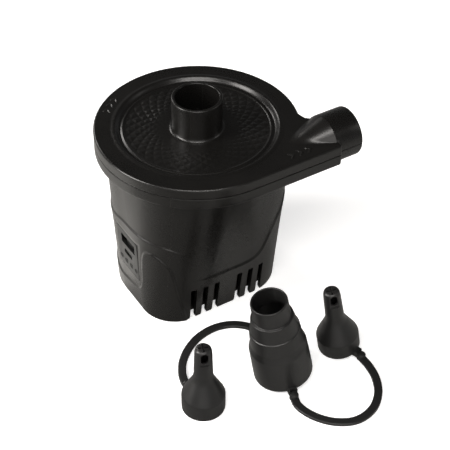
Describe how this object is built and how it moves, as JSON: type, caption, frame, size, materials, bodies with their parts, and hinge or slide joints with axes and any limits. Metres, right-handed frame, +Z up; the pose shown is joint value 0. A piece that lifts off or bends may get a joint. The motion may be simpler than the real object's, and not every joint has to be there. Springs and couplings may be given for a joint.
{
  "type": "rechargeable air mattress pump",
  "caption": "Rechargeable air mattress pump: round fan head with inlet and side outlet tubes, tapered vented body, rocker switch panel and a tethered set of push-on nozzles.",
  "frame": {"origin": "on the floor plane under the fan axis", "axes": "+Z up along the fan axis, +X the way the outlet tube points, vented face to -Y, switch panel to -X"},
  "size_m": [0.1352, 0.2021, 0.117],
  "materials": {
    "satin_black": "satin moulded plastic",
    "fan_black": "satin moulded plastic",
    "panel_black": "fine matt",
    "switch_black": "semi-gloss",
    "soft_black": "soft moulded plastic, satin",
    "natural_nylon": "as moulded",
    "zinc_steel": "zinc plated",
    "plated_steel": "nickel plated",
    "ground_steel": "ground",
    "lamination_steel": "stacked sheet",
    "bronze": "sintered",
    "copper": "bare",
    "enamelled_copper": "enamelled wire",
    "ferrite": "pressed ferrite",
    "carbon": "pressed carbon",
    "lamp_smoke": "smoked clear plastic",
    "board_green": "solder mask",
    "component_black": "moulded",
    "cell_wrap": "shrink wrap",
    "wire_red": "insulation",
    "wire_black": "insulation"
  },
  "bodies": {
    "pump": {"top_cover": "satin_black", "main_housing": "satin_black", "base_plate": "satin_black", "cover_screws": "zinc_steel", "base_screws": "zinc_steel", "plate_screws": "zinc_steel", "motor_plate": "satin_black", "motor_can": "zinc_steel", "motor_screws": "zinc_steel", "motor_end_cap": "natural_nylon", "motor_bushes": "bronze", "motor_magnets": "ferrite", "motor_brushes": "carbon", "motor_terminals": "copper", "switch_panel": "panel_black", "switch_case": "switch_black", "rocker_pin": "ground_steel", "switch_terminals": "copper", "charge_socket_shell": "plated_steel", "charge_socket_tongue": "switch_black", "charge_lamps": "lamp_smoke", "control_board": "board_green", "board_components": "component_black", "board_screws": "zinc_steel", "battery_cells": "cell_wrap", "battery_cradle": "satin_black", "battery_cap": "satin_black", "cell_strips": "plated_steel", "motor_leads": "wire_red", "battery_leads": "wire_red", "switch_leads": "wire_black"},
    "rotor": {"impeller": "fan_black", "impeller_nut": "zinc_steel", "motor_shaft": "ground_steel", "armature_core": "lamination_steel", "armature_coils": "enamelled_copper", "commutator": "copper"},
    "rocker": {"rocker_button": "switch_black"},
    "nozzle_set": {"valve_adapter": "soft_black", "tether_strap_left": "soft_black", "tether_strap_right": "soft_black"},
    "left_nozzle": {"pinch_nozzle_left": "soft_black"},
    "right_nozzle": {"pinch_nozzle_right": "soft_black"}
  },
  "joints": [
    {"name": "fan_spin", "type": "hinge", "parent": "pump", "child": "rotor", "pos_m": [0, 0, 0.08], "axis": [0, 0, 1], "continuous": true},
    {"name": "rocker_tilt", "type": "hinge", "parent": "pump", "child": "rocker", "pos_m": [-0.0424, -0.0046, 0.0392], "axis": [0, 0, 1], "range_deg": [-8, 8]},
    {"name": "nozzle_set_slide", "type": "slide", "parent": "pump", "child": "nozzle_set", "axis": [0, -1, 0], "range_m": [0, 0.2]},
    {"name": "left_nozzle_swing", "type": "hinge", "parent": "nozzle_set", "child": "left_nozzle", "pos_m": [-0.05432, -0.07994, 0.002], "axis": [0, 0, 1], "range_deg": [-20, 20]},
    {"name": "right_nozzle_swing", "type": "hinge", "parent": "nozzle_set", "child": "right_nozzle", "pos_m": [0.03549, -0.1106, 0.002], "axis": [0, 0, 1], "range_deg": [-20, 20]}
  ]
}
